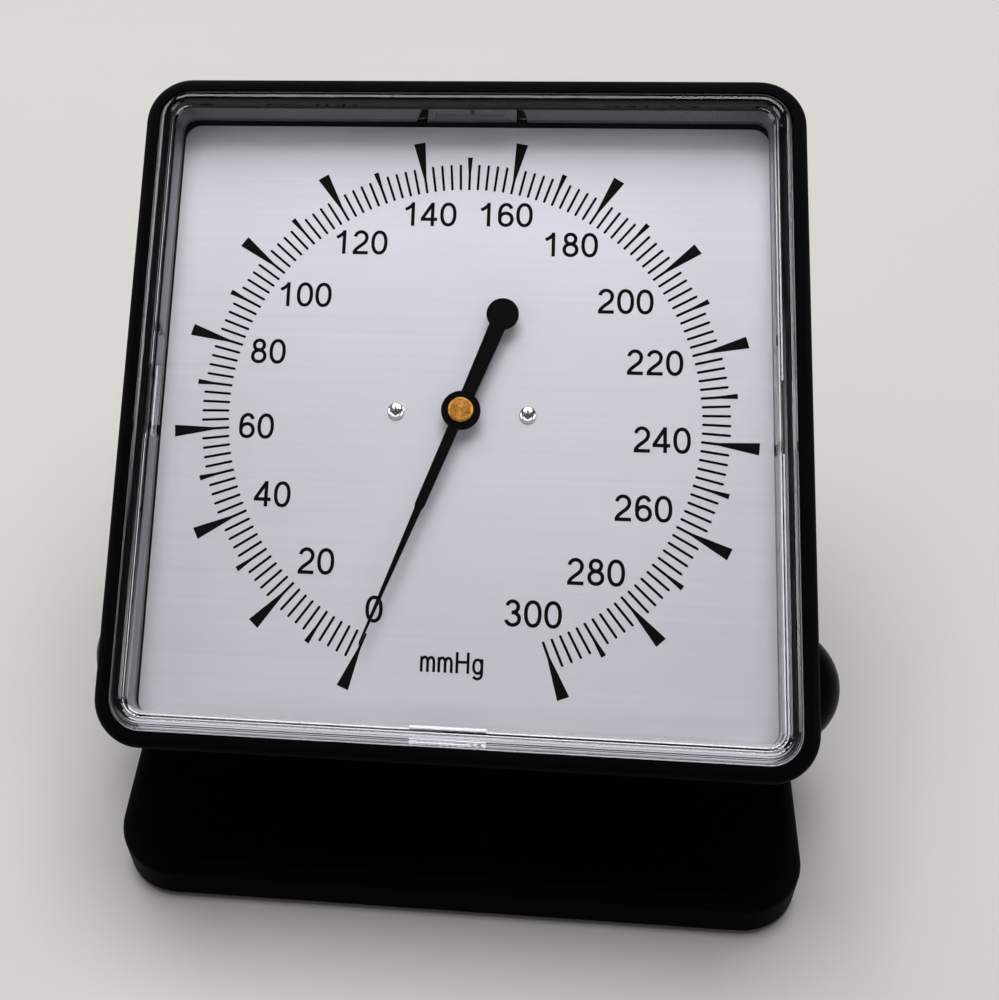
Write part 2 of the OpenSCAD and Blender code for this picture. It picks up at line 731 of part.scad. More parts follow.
module toothed_sector() color(BRASS) on_head() translate([0, -gear_distance, 0]) {
    band_in = sector_root_r - 2.2;
    first = 90 - teeth_behind * sector_pitch_deg;
    difference() {
        union() {
            translate([0, 0, sector_low]) linear_extrude(height = sector_t) difference() {
                polygon(concat([[0, 0]],
                    [for (i = [0:teeth_behind + teeth_ahead])
                        each tooth(sector_pitch_r, sector_teeth, sector_root_r, sector_tip_r,
                            first + i * sector_pitch_deg)]));
                // opening between the two arms
                middle = 90 + sector_mid;
                polygon(concat(
                    arc(0, 0, band_in, middle - sector_hole_half, middle + sector_hole_half, 10),
                    arc(0, 0, sector_hole_r, middle + sector_hole_in_half,
                        middle - sector_hole_in_half, 6)));
            }
            translate([0, 0, sector_low - 1.2]) cylinder(r = 2.6, h = sector_t + 2);
            // arm that carries the pin
            translate([0, 0, sector_low]) rotate([0, 0, rest_turn]) linear_extrude(height = sector_t)
                union() {
                    translate([0, rocker_reach]) circle(r = 1.5);
                    translate([-1.5, 0]) square([3, rocker_reach]);
                }
        }
        translate([0, 0, sector_low - 3]) cylinder(r = bearing_r, h = 8);
        rotate([0, 0, rest_turn]) translate([0, rocker_reach, sector_low - 1])
            cylinder(r = pin_r, h = sector_t + 2);
    }
}

module sector_pin() color(STEEL) on_head() translate([0, -gear_distance, 0])
    rotate([0, 0, rest_turn]) translate([0, rocker_reach, lower_low + 0.1])
        cylinder(r = pin_r, h = sector_top - lower_low - 0.1);

module sector_arbor() color(STEEL) on_head() translate([0, -gear_distance, arbor_low])
    cylinder(r = arbor_r, h = upper_top + 0.3 - arbor_low);

// ---------- rocker ----------

// Places rocker pieces on the shaft's axis, turned back by half the swing
module on_rocker() {
    translate([rocker_x, 0, rocker_z]) rotate([0, -rest_turn, 0]) children();
}

module rocker() color(STEEL) on_head() on_rocker() {
    difference() {
        union() {
            // long arm with the ball that pushes the sector pin
            translate([0, arm_y + 0.5, 0]) rotate([90, 0, 0]) linear_extrude(height = 1) {
                circle(r = rocker_hub_r);
                polygon([[-0.9, 0], [0.9, -0.9],
                    [arm_offset + arm_half, rocker_reach - arm_bend - 0.2],
                    [arm_offset + arm_half, rocker_reach], [arm_offset - arm_half, rocker_reach],
                    [arm_offset - arm_half, rocker_reach - arm_bend]]);
                translate([arm_offset, rocker_reach]) circle(r = ball_r);
            }
            // short arm that lies on the capsule stud
            translate([0, 0.8, 0]) rotate([90, 0, 0]) linear_extrude(height = 1.6) {
                circle(r = rocker_hub_r);
                polygon([[0, 0.8], [0, -1.2], [pad_dx, pad_dz - 0.5], [pad_dx, pad_dz + 0.5]]);
                translate([pad_dx, pad_dz]) circle(r = pad_r);
            }
            // sleeve between the arms
            translate([0, 0.8, 0]) rotate([90, 0, 0]) cylinder(r = rocker_hub_r, h = 0.8 - arm_y);
        }
        translate([0, 3, 0]) rotate([90, 0, 0]) cylinder(r = rocker_shaft_r + fit, h = 8 - arm_y);
    }
}

module rocker_shaft() color(STEEL) on_head()
    translate([rocker_x, rocker_shaft_high, rocker_z]) rotate([90, 0, 0])
        cylinder(r = rocker_shaft_r, h = rocker_shaft_high - rocker_shaft_low);

module rocker_lugs() color(BRASS) on_head()
    for (y = [rocker_shaft_low + shaft_proud, rocker_shaft_high - shaft_proud - lug_t])
        translate([rocker_x, y + lug_t, 0]) rotate([90, 0, 0]) linear_extrude(height = lug_t)
            difference() {
                union() {
                    translate([-lug_half, rocker_z]) square([2 * lug_half, lower_low - rocker_z]);
                    translate([0, rocker_z]) circle(r = lug_half);
                }
                translate([0, rocker_z]) circle(r = rocker_shaft_r + fit);
            }

// ---------- capsules and pressure inlet ----------

// Half thickness of a capsule at radius r: flat rim, waves, flat middle
function half_capsule(r, cut) =
    let (rim = capsule_d / 2 - 2, mid = neck_r + 2,
         t = (rim - r) / (rim - mid),
         body = r > rim ? capsule_rim_t / 2
              : r < mid ? capsule_t / 2
              : capsule_rim_t / 2 + (capsule_t - capsule_rim_t) / 2 * pow(t, 0.6)
                + capsule_wave_h * sin(360 * capsule_waves * t) * (1 - t))
    max(body - cut, 0.02);

// Outline of a capsule in (radius, height), shrunk inward by cut
function capsule_outline(r_to, cut) =
    let (steps = 36, rs = [for (i = [0:steps]) r_to * i / steps])
    concat([for (r = rs) [r, half_capsule(r, cut)]],
           [for (i = [steps:-1:0]) [rs[i], -half_capsule(rs[i], cut)]]);

module capsule() {
    full = capsule_t + 2 * neck_h;
    difference() {
        union() {
            translate([0, 0, full / 2]) rotate_extrude() polygon(capsule_outline(capsule_d / 2, 0));
            cylinder(r = neck_r, h = full);
        }
        translate([0, 0, full / 2]) rotate_extrude()
            polygon(capsule_outline(capsule_d / 2 - 2, capsule_sheet));
        translate([0, 0, -eps]) cylinder(r = capsule_bore_r, h = full + 2 * eps);
    }
}

module capsule_rear() color(BRONZE) on_head() translate([0, 0, capsule_rear_z]) capsule();

module capsule_front() color(BRONZE) on_head() translate([0, 0, capsule_front_z]) capsule();

module capsule_stud() color(BRASS) on_head() {
    translate([0, 0, stud_low]) cylinder(r = 3, h = 0.5);
    translate([0, 0, stud_low]) cylinder(r = 1.4, h = stud_tip - stud_low);
}

module hose_nipple() color(BRASS) on_head() {
    end = -box_back - nipple_len;
    thread_low = -box_back - washer_t - nut_t - 1;
    nipple_r = nipple_d / 2;
    barb = 0.8;
    barbs = 3;
    barb_len = 3;
    rotate_extrude() polygon(concat(
        [[nipple_bore_d / 2, carrier_top + stem_flange_t], [neck_r + 3, carrier_top + stem_flange_t],
         [neck_r + 3, carrier_top], [stem_r, carrier_top], [stem_r, thread_low],
         [nipple_r, thread_low]],
        [for (i = [0:barbs - 1]) let (top = end + (barbs - i) * barb_len)
            each [[nipple_r, top], [nipple_r + barb, top], [nipple_r, top - barb_len + 0.4]]],
        [[nipple_r - 0.3, end], [nipple_bore_d / 2, end]]));
}

module stem_nut() color(BRASS) on_head() translate([0, 0, -box_back - washer_t - nut_t])
    difference() {
        cylinder(r = stem_r + nut_border, h = nut_t, $fn = 6);
        translate([0, 0, -eps]) cylinder(r = stem_r + fit, h = nut_t + 2 * eps);
    }

module sealing_washer() color(RUBBER) on_head() translate([0, 0, -box_back - washer_t])
    tube(stem_r + washer_border, stem_r + fit, washer_t);

// ---------- foot ----------

module foot() color(BLACK) {
    r = foot_corner_r;
    difference() {
        union() {
            // skirt and rounded top edge
            swept_rim(foot_core_x, foot_core_y) polygon(concat(
                [[r - foot_lip - foot_draft, mat_t], [r - foot_draft, mat_t]],
                arc(r - foot_edge_r, foot_top - foot_edge_r, foot_edge_r, 0, 90),
                [[0, foot_top], [0, foot_roof], [r - foot_wall - 0.4, foot_roof],
                 [r - foot_wall - 0.4, plate_top], [r - foot_lip - foot_draft, plate_top]]));
            translate([0, 0, foot_roof]) linear_extrude(height = foot_wall)
                square([2 * foot_core_x, 2 * foot_core_y], center = true);
            // ears
            for (s = [-1, 1]) translate([s > 0 ? ear_in : -ear_out, pivot_y, 0])
                rotate([90, 0, 90]) linear_extrude(height = ear_t) ear_outline();
            // bosses for the foot plate's screws
            at_corners(foot_boss_x, foot_boss_y) translate([0, 0, plate_top])
                cylinder(r = foot_boss_r, h = foot_roof - plate_top + eps);
            // ribs under the top
            for (x = [-36, 0, 36]) translate([x - 1, -foot_core_y - 8, plate_top + 1])
                cube([2, 2 * foot_core_y + 16, foot_roof - plate_top - 1 + eps]);
            for (y = [-20, 20]) translate([-foot_core_x - 8, y - 1, plate_top + 1])
                cube([2 * foot_core_x + 16, 2, foot_roof - plate_top - 1 + eps]);
        }
        for (s = [-1, 1]) translate([s * (ear_in + ear_out) / 2, pivot_y, pivot_height]) rotate([0, 90, 0])
            cylinder(r = bolt_r + fit, h = ear_t + 4, center = true);
        at_corners(foot_boss_x, foot_boss_y) translate([0, 0, plate_top - eps])
            cylinder(r = foot_screw_r + fit, h = foot_roof - plate_top - 1);
    }
}

// Side view of an ear: y to the rear, z up, with the tilt axis at y = 0
module ear_outline() {
    half = ear_w / 2;
    difference() {
        union() {
            translate([0, pivot_height]) circle(r = half);
            translate([-half, foot_roof]) square([ear_w, pivot_height - foot_roof]);
            translate([-half - ear_flare, foot_roof])
                square([ear_w + 2 * ear_flare, foot_wall + ear_flare]);
        }
        for (s = [-1, 1]) translate([s * (half + ear_flare), foot_top + ear_flare]) circle(r = ear_flare);
    }
}

module foot_plate() color(STEEL) translate([0, 0, mat_t]) linear_extrude(height = foot_plate_t)
    difference() {
        round_rect(foot_core_x, foot_core_y, foot_corner_r - foot_lip - foot_draft - slip);
        at_corners(foot_boss_x, foot_boss_y) circle(r = foot_screw_r + fit);
    }

module foot_screws() color(STEEL) at_corners(foot_boss_x, foot_boss_y) translate([0, 0, mat_t])
    rotate([180, 0, 0]) difference() {
        pan_screw(foot_screw_r, foot_plate_t + foot_screw_grip, foot_screw_head_r, foot_screw_head_t);
        translate([0, 0, foot_screw_head_t]) cross_recess(1.1 * foot_screw_head_r, 0.6 * foot_screw_head_t);
    }

module rubber_mat() color(RUBBER) linear_extrude(height = mat_t)
    round_rect(foot_w / 2 - mat_side_border - mat_r, foot_depth / 2 - mat_border - mat_r, mat_r);

// ---------- hinge ----------

// Puts a piece drawn along +z, with z = 0 on the head's middle plane, on the tilt axis
module on_hinge(side) {
    translate([0, pivot_y, pivot_height]) rotate([0, side * 90, 0]) children();
}

module hinge_inserts() color(BRASS) for (s = [-1, 1]) on_hinge(s)
    translate([0, 0, box_half_w - insert_len]) tube(insert_r, bolt_r + fit, insert_len - eps);

module hinge_washers() color(RUBBER) for (s = [-1, 1]) on_hinge(s)
    translate([0, 0, box_half_w + hinge_pad_t]) tube(hinge_washer_r, bolt_r + slip, hinge_washer_t);

// Domed knob on a neck next to the ear
module knob() {
    r = knob_d / 2;
    dome = knob_len - knob_band;
    dome_r = (r * r + dome * dome) / (2 * dome);
    difference() {
        union() {
            translate([0, 0, knob_in]) cylinder(r = knob_neck_r, h = knob_head - knob_in + eps);
            intersection() {
                translate([0, 0, knob_head]) cylinder(r = r, h = knob_len);
                translate([0, 0, knob_out - dome_r]) sphere(r = dome_r, $fn = 96);
            }
        }
        translate([0, 0, knob_in - eps])
            cylinder(r = bolt_r + fit, h = knob_head - knob_in + bolt_depth + fit);
    }
}

module bolt() {
    translate([0, 0, box_half_w - insert_len])
        cylinder(r = bolt_r, h = knob_head + bolt_depth - box_half_w + insert_len);
}

module knob_right() color(BLACK) on_hinge(1) knob();
module bolt_right() color(STEEL) on_hinge(1) bolt();
module knob_left() color(BLACK) on_hinge(-1) knob();
module bolt_left() color(STEEL) on_hinge(-1) bolt();

front_case();
rear_cover();
cover_screws();
window();
dial_plate();
dial_screws();
pointer();
pointer_boss();
pinion();
pointer_arbor();
hairspring();
hairspring_collet();
hairspring_stud();
upper_plate();
lower_plate();
short_pillars();
pillar_screws();
dial_posts();
long_posts();
post_screws();
carrier_plate();
toothed_sector();
sector_arbor();
sector_pin();
rocker();
rocker_shaft();
rocker_lugs();
capsule_rear();
capsule_front();
capsule_stud();
hose_nipple();
stem_nut();
sealing_washer();
foot();
foot_plate();
foot_screws();
rubber_mat();
hinge_inserts();
hinge_washers();
knob_right();
bolt_right();
knob_left();
bolt_left();
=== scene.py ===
"""Looks of a square desk gauge with a round pressure scale: finishes, printed scale and stage."""

import json
import math

import bmesh
import bpy
from bpy.props import FloatProperty, FloatVectorProperty, IntProperty, PointerProperty
from mathutils import Matrix, Vector


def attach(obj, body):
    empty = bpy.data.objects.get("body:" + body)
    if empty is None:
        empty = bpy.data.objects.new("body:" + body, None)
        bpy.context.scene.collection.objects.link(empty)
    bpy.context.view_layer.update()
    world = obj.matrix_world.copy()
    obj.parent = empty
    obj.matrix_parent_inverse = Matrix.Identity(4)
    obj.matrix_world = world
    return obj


bl_info = {
    "name": "Desk gauge looks",
    "version": (1, 0, 0),
    "blender": (4, 5, 0),
    "location": "3D View > Sidebar > Desk gauge",
    "description": "Finishes, printed scale and stage of a square desk gauge",
    "category": "Add Mesh",
}

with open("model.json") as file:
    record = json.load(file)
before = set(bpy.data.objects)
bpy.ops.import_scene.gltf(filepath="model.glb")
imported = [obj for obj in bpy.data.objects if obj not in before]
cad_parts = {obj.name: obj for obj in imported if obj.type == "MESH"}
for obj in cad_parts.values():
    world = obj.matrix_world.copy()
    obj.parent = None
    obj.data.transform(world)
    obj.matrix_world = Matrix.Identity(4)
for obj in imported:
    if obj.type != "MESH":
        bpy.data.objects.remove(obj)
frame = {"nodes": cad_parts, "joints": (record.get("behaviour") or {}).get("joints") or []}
NODES = frame["nodes"]
MM = 0.001
POINTER_JOINT = next(j for j in frame["joints"] if j["name"] == "pointer_turn")
DIAL_CENTRE = Vector(POINTER_JOINT["pos_m"])
DIAL_RIGHT = Vector((1, 0, 0))
DIAL_OUT = -Vector(POINTER_JOINT["axis"]).normalized()
DIAL_UP = DIAL_OUT.cross(DIAL_RIGHT)
HEAD_TILT = math.asin(-DIAL_OUT.y)      # how steeply the dial rises from the table
# Turns a point given on the dial (right, up, out) into the row frame
ON_DIAL = Matrix.Translation(DIAL_CENTRE) @ Matrix(
    (DIAL_RIGHT, DIAL_UP, DIAL_OUT)).transposed().to_4x4()

# Middle of each number on the dial in mm, right and up from the pointer's axis
NUMBER_PLACES = {
    0: (-17.6, -44.1), 20: (-31.0, -34.2), 40: (-41.7, -19.7), 60: (-46.5, -4.3),
    80: (-44.9, 13.2), 100: (-37.2, 26.9), 120: (-24.8, 39.8), 140: (-9.0, 46.9),
    160: (8.6, 47.0), 180: (23.6, 40.0), 200: (36.15, 26.8), 220: (42.7, 12.8),
    240: (44.3, -4.65), 260: (40.3, -19.9), 280: (30.25, -34.1), 300: (16.9, -43.6),
}
UNIT_PLACE = (-0.2, -56.9)   # of the unit's foot, in the same way
LAYER_LIFT = 0.05            # each further stroke of a character is this part thicker
MITRE_LIMIT = 0.5            # keeps the sharp bends of a stroke from growing spikes
NECK_SWELL = 1.05            # width of a bold mark where it starts to flare, in fine widths
ROUND_STEPS = 5              # straight steps in each round end of a fine mark

ACRYLIC_IOR = 1.49
WALL_IOR = 1.18              # the window's steep walls are kept faint, as they look in the photo
# Darkest and lightest tint of the clear acrylic, as a thin sheet and in the thick rim
SHEET_TINTS = ((0.98, 0.987, 0.988), (0.992, 0.997, 1.0))
RIM_TINTS = ((0.955, 0.975, 0.98), (0.985, 0.995, 1.0))
# The window's faces that look straight out of the dial are its sheet and those that look
# sideways are its walls: how far a face looks out, and the material slot that it gets
SHEET_LEAN, SHEET_SLOT = 0.999, 1
WALL_LEAN, WALL_SLOT = 0.03, 2
SHARP_CORNER = math.radians(32)
# Most values of a noise texture lie between these
NOISE_LOW, NOISE_HIGH = 0.3, 0.7

# Places and sizes of the lamps in metres
LAMP_AIM = Vector((0, 0, 0.08))
SOFT_BOX_PLACE, SOFT_BOX_SIZE = Vector((0, 0.26, 1.7)), (1.35, 1.1)
REAR_LAMP_PLACE, REAR_LAMP_SIZE = Vector((-0.6, 1.5, 1.3)), (1.0, 0.5)
# Heights in the room as the sine of the angle above the table: where the pale walls end, where
# the dim ceiling begins, and the band of bright windows with its half height and its soft edge
WALL_TOP, CEILING_FROM = 0.26, 0.36
WINDOW_MIDDLE, WINDOW_HALF, WINDOW_FADE = 0.52, 0.08, 0.05
WINDOW_FRONT = 0.35          # part of their brightness that windows in front and behind have
SENSOR_HEIGHT = 36           # of the camera, in mm


# ---------------------------------------------------------------- settings

class ScaleSettings(bpy.types.PropertyGroup):
    """Sizes of the printed scale"""
    highest: IntProperty(name="Highest reading", description="Reading at the end of the scale",
                         default=300, min=100, max=400)
    mark_step: IntProperty(name="Mark step", description="Reading between two marks",
                           default=2, min=1)
    ten_step: IntProperty(name="Bold step", description="Reading between two bold marks",
                          default=10, min=5)
    number_step: IntProperty(name="Number step", description="Reading between two numbered marks",
                             default=20, min=10)
    sweep: FloatProperty(name="Sweep", description="Angle from the first mark to the last",
                         default=math.radians(POINTER_JOINT["range_deg"][1]), unit="ROTATION")
    mark_in: FloatProperty(name="Inner radius", description="Radius where the marks begin",
                           default=52.95 * MM, unit="LENGTH")
    mark_out: FloatProperty(name="Outer radius", description="Radius where the fine marks end",
                            default=59.3 * MM, unit="LENGTH")
    ten_out: FloatProperty(name="Tens radius", description="Radius where the marks of the tens end",
                           default=61.0 * MM, unit="LENGTH")
    twenty_out: FloatProperty(name="Numbered radius",
                              description="Radius where the marks with a number end",
                              default=65.55 * MM, unit="LENGTH")
    mark_width: FloatProperty(name="Mark width", description="Width of a fine mark",
                              default=0.58 * MM, unit="LENGTH")
    ten_width: FloatProperty(name="Tens width", description="Widest part of a tens mark",
                             default=1.2 * MM, unit="LENGTH")
    twenty_width: FloatProperty(name="Numbered width", description="Widest part of a numbered mark",
                                default=2.75 * MM, unit="LENGTH")
    ten_neck: FloatProperty(name="Tens neck", description="Narrow length of a tens mark",
                            default=4.2 * MM, unit="LENGTH")
    twenty_neck: FloatProperty(name="Numbered neck", description="Narrow length of a numbered mark",
                               default=3.6 * MM, unit="LENGTH")
    digit_height: FloatProperty(name="Digit height", description="Height of the numbers",
                                default=5.75 * MM, unit="LENGTH")
    unit_height: FloatProperty(name="Unit height", description="Height of the unit's capital letter",
                               default=4.5 * MM, unit="LENGTH")
    ink: FloatProperty(name="Ink thickness", description="How far the print stands off the dial",
                       default=0.02 * MM, unit="LENGTH")


class FinishSettings(bpy.types.PropertyGroup):
    """Colours of the pieces"""
    case: FloatVectorProperty(name="Case", description="Colour of the moulded case",
                              subtype="COLOR", size=3, default=(0.0009, 0.001, 0.0013))
    foot: FloatVectorProperty(name="Foot", description="Colour of the foot",
                              subtype="COLOR", size=3, default=(0.0009, 0.001, 0.0012))
    knob: FloatVectorProperty(name="Knobs", description="Colour of the clamp knobs",
                              subtype="COLOR", size=3, default=(0.0008, 0.0009, 0.001))
    dial: FloatVectorProperty(name="Dial", description="Colour of the brushed dial",
                              subtype="COLOR", size=3, default=(0.67, 0.665, 0.72))
    ink: FloatVectorProperty(name="Ink", description="Colour of the print and the pointer",
                             subtype="COLOR", size=3, default=(0.003, 0.0031, 0.0034))
    brass: FloatVectorProperty(name="Brass", description="Colour of the brass pieces",
                               subtype="COLOR", size=3, default=(0.62, 0.27, 0.05))
    steel: FloatVectorProperty(name="Steel", description="Colour of the bright steel pieces",
                               subtype="COLOR", size=3, default=(0.70, 0.70, 0.71))
    bronze: FloatVectorProperty(name="Bronze", description="Colour of capsules and hairspring",
                                subtype="COLOR", size=3, default=(0.70, 0.42, 0.22))
    washer: FloatVectorProperty(name="Washer", description="Colour of the sealing washer",
                                subtype="COLOR", size=3, default=(0.012, 0.012, 0.012))
    mat: FloatVectorProperty(name="Mat", description="Colour of the mat under the foot",
                             subtype="COLOR", size=3, default=(0.014, 0.014, 0.014))
    fibre: FloatVectorProperty(name="Fibre", description="Colour of the friction washers",
                               subtype="COLOR", size=3, default=(0.05, 0.03, 0.02))


class StageSettings(bpy.types.PropertyGroup):
    """Table, light and camera"""
    floor: FloatVectorProperty(name="Floor", description="Colour of the table",
                               subtype="COLOR", size=3, default=(0.68, 0.665, 0.65))
    floor_size: FloatProperty(name="Floor size", description="Radius of the table",
                              default=4.0, unit="LENGTH")
    sky_colour: FloatVectorProperty(name="Room colour", description="Colour of the room's light",
                                    subtype="COLOR", size=3, default=(1.0, 0.97, 0.93))
    sky: FloatProperty(name="Room light", description="Strength of the light from all around",
                       default=0.14)
    backdrop: FloatProperty(name="Backdrop", description="Brightness of the room near the table",
                            default=0.72)
    ceiling: FloatProperty(name="Ceiling", description="Brightness of the dim ceiling",
                           default=0.06)
    windows: FloatProperty(name="Windows", description="Brightness of the windows high in the walls",
                           default=6.0)
    overhead: FloatProperty(name="Soft box", description="Power of the soft box overhead",
                            default=27.0)
    rear: FloatProperty(name="Rear lamp", description="Power of the lamp behind on the left",
                        default=4.5)
    focal: FloatProperty(name="Focal length", description="Focal length in mm on a 36 mm sensor",
                         default=59.3017)
    shift: FloatVectorProperty(name="Shift", description="Shift of the picture's middle", size=2,
                               default=(0.15951, -0.22002))
    eye: FloatVectorProperty(name="Camera place", description="Where the camera stands",
                             subtype="XYZ", size=3, unit="LENGTH",
                             default=(0.020703, -0.265344, 0.333316))
    turn: FloatVectorProperty(name="Camera turn", description="How the camera is turned",
                              subtype="EULER", size=3, unit="ROTATION",
                              default=tuple(math.radians(a) for a in (53.0942, 3.6371, 6.6656)))


# ---------------------------------------------------------------- material helpers

def new_finish(name):
    """A new node material with its tree and its shader."""
    material = bpy.data.materials.new(name)
    material.use_nodes = True
    tree = material.node_tree
    return material, tree, tree.nodes["Principled BSDF"]


def add(tree, kind, **settings):
    """A node of this kind with its settings."""
    item = tree.nodes.new(kind)
    for key, value in settings.items():
        setattr(item, key, value)
    return item


def place(tree, stretch=(1, 1, 1), on_dial=False):
    """Coordinates in metres, along the row frame or along the dial, stretched."""
    coords = add(tree, "ShaderNodeTexCoord")
    out = coords.outputs["Object"]
    if on_dial:
        turn = add(tree, "ShaderNodeMapping", vector_type="TEXTURE")
        turn.inputs["Location"].default_value = DIAL_CENTRE
        turn.inputs["Rotation"].default_value = (HEAD_TILT, 0, 0)
        tree.links.new(out, turn.inputs["Vector"])
        out = turn.outputs["Vector"]
    if stretch != (1, 1, 1):
        scale = add(tree, "ShaderNodeMapping")
        scale.inputs["Scale"].default_value = stretch
        tree.links.new(out, scale.inputs["Vector"])
        out = scale.outputs["Vector"]
    return out


def noise(tree, vector, scale, detail=3.0, rough=0.55):
    """Output of a noise texture."""
    item = add(tree, "ShaderNodeTexNoise")
    item.inputs["Scale"].default_value = scale
    item.inputs["Detail"].default_value = detail
    item.inputs["Roughness"].default_value = rough
    tree.links.new(vector, item.inputs["Vector"])
    return item.outputs["Fac"]


def between(tree, source, low, high, start, end):
    """A number that goes from low to high while its source goes from start to end."""
    item = add(tree, "ShaderNodeMapRange")
    for name, value in (("From Min", start), ("From Max", end), ("To Min", low), ("To Max", high)):
        item.inputs[name].default_value = value
    tree.links.new(source, item.inputs["Value"])
    return item.outputs["Result"]


def vary(tree, source, socket, low, high):
    """Lets a texture move a number between two values."""
    tree.links.new(between(tree, source, low, high, NOISE_LOW, NOISE_HIGH), socket)


def tint(tree, source, socket, dark, light, start=NOISE_LOW, end=NOISE_HIGH):
    """Lets a texture move a colour between two values."""
    ramp = add(tree, "ShaderNodeValToRGB")
    ramp.color_ramp.elements[0].position = start
    ramp.color_ramp.elements[0].color = (*dark, 1)
    ramp.color_ramp.elements[1].position = end
    ramp.color_ramp.elements[1].color = (*light, 1)
    tree.links.new(source, ramp.inputs["Fac"])
    tree.links.new(ramp.outputs["Color"], socket)


def shade(colour, factor):
    """A colour made darker or lighter."""
    return tuple(min(1.0, c * factor) for c in colour[:3])


def mottle(tree, source, shader, colour, dark, light, **span):
    """Lets a texture make a shader's colour darker and lighter by these factors."""
    tint(tree, source, shader.inputs["Base Color"], shade(colour, dark), shade(colour, light), **span)


def bump(tree, shader, source, height, strength, under=None):
    """Lets a texture raise the surface by a height in metres."""
    item = add(tree, "ShaderNodeBump")
    item.inputs["Distance"].default_value = height
    item.inputs["Strength"].default_value = strength
    tree.links.new(source, item.inputs["Height"])
    if under is not None:
        tree.links.new(under, item.inputs["Normal"])
    tree.links.new(item.outputs["Normal"], shader.inputs["Normal"])
    return item.outputs["Normal"]


def mix(tree, a, b, share):
    """Blend of two texture outputs."""
    item = add(tree, "ShaderNodeMix", data_type="FLOAT")
    item.inputs["Factor"].default_value = share
    tree.links.new(a, item.inputs["A"])
    tree.links.new(b, item.inputs["B"])
    return item.outputs["Result"]


def reckon(tree, operation, a, b=0.0):
    """Result of a sum on texture outputs or plain numbers."""
    item = add(tree, "ShaderNodeMath", operation=operation)
    for socket, value in zip(item.inputs, (a, b)):
        if isinstance(value, (int, float)):
            socket.default_value = value
        else:
            tree.links.new(value, socket)
    return item.outputs[0]


def blend(tree, share, first, second, output="Material Output"):
    """Mixes two shaders by a share of the second and makes them the surface."""
    join = add(tree, "ShaderNodeMixShader")
    for socket, source in zip(join.inputs, (share, first.outputs[0], second.outputs[0])):
        tree.links.new(source, socket)
    tree.links.new(join.outputs["Shader"], tree.nodes[output].inputs["Surface"])


# ---------------------------------------------------------------- finishes

def moulded_plastic(name, colour, rough, gloss, grain, depth):
    """Black moulded plastic with a fine spark-eroded grain."""
    material, tree, shader = new_finish(name)
    here = place(tree)
    coarse = noise(tree, here, scale=60, detail=4)
    fine = noise(tree, here, scale=grain, rough=0.6)
    shader.inputs["Specular IOR Level"].default_value = gloss
    mottle(tree, coarse, shader, colour, dark=0.75, light=1.3)
    vary(tree, mix(tree, coarse, fine, share=0.5), shader.inputs["Roughness"],
         low=rough - 0.06, high=rough + 0.06)
    bump(tree, shader, fine, depth, strength=0.6)
    return material


def polish(tree, here, shader):
    """The nearly even gloss of polished acrylic."""
    vary(tree, noise(tree, here, scale=90), shader.inputs["Roughness"], low=0.0, high=0.02)


def clear_sheet(name, ior):
    """Thin clear acrylic sheet: shows what is behind it, with a faint gloss on its outer side."""
    material, tree, shader = new_finish(name)
    tree.nodes.remove(shader)
    here = place(tree)
    through = add(tree, "ShaderNodeBsdfTransparent")
    tint(tree, noise(tree, here, scale=28, detail=2), through.inputs["Color"], *SHEET_TINTS)
    gloss = add(tree, "ShaderNodeBsdfGlossy")
    polish(tree, here, gloss)
    edge = add(tree, "ShaderNodeFresnel")
    edge.inputs["IOR"].default_value = ior
    side = add(tree, "ShaderNodeNewGeometry")
    outer = reckon(tree, "SUBTRACT", 1.0, side.outputs["Backfacing"])
    blend(tree, reckon(tree, "MULTIPLY", edge.outputs["Fac"], outer), through, gloss)
    return material


def clear_rim(name):
    """Thick clear acrylic that bends what is behind it and lets the lamps through."""
    material, tree, shader = new_finish(name)
    here = place(tree)
    shader.inputs["IOR"].default_value = ACRYLIC_IOR
    shader.inputs["Transmission Weight"].default_value = 1.0
    slow = noise(tree, here, scale=28, detail=2)
    tint(tree, slow, shader.inputs["Base Color"], *RIM_TINTS)
    polish(tree, here, shader)
    bump(tree, shader, slow, height=0.01 * MM, strength=0.1)
    through = add(tree, "ShaderNodeBsdfTransparent")
    path = add(tree, "ShaderNodeLightPath")
    blend(tree, path.outputs["Is Shadow Ray"], shader, through)
    return material


def brushed_sheet(name, colour):
    """Silver sheet brushed along the dial's width."""
    material, tree, shader = new_finish(name)
    fine_lines = place(tree, stretch=(12, 5200, 40), on_dial=True)
    wide_lines = place(tree, stretch=(6, 900, 40), on_dial=True)
    lines = noise(tree, fine_lines, scale=1.0, rough=0.65)
    wide = noise(tree, wide_lines, scale=1.0, detail=2, rough=0.5)
    cloud = noise(tree, place(tree, on_dial=True), scale=14, detail=2)
    shader.inputs["Metallic"].default_value = 0.5
    streaks = mix(tree, mix(tree, lines, wide, share=0.4), cloud, share=0.25)
    mottle(tree, streaks, shader, colour, dark=0.94, light=1.05)
    vary(tree, lines, shader.inputs["Roughness"], low=0.5, high=0.6)
    bump(tree, shader, lines, height=0.004 * MM, strength=0.35)
    return material


def satin_paint(name, colour, rough):
    """Thin black paint or ink."""
    material, tree, shader = new_finish(name)
    here = place(tree)
    fine = noise(tree, here, scale=2500, detail=2)
    shader.inputs["Specular IOR Level"].default_value = 0.03
    mottle(tree, noise(tree, here, scale=300), shader, colour, dark=0.7, light=1.5)
    vary(tree, fine, shader.inputs["Roughness"], low=rough - 0.06, high=rough + 0.06)
    bump(tree, shader, fine, height=0.004 * MM, strength=0.3)
    return material


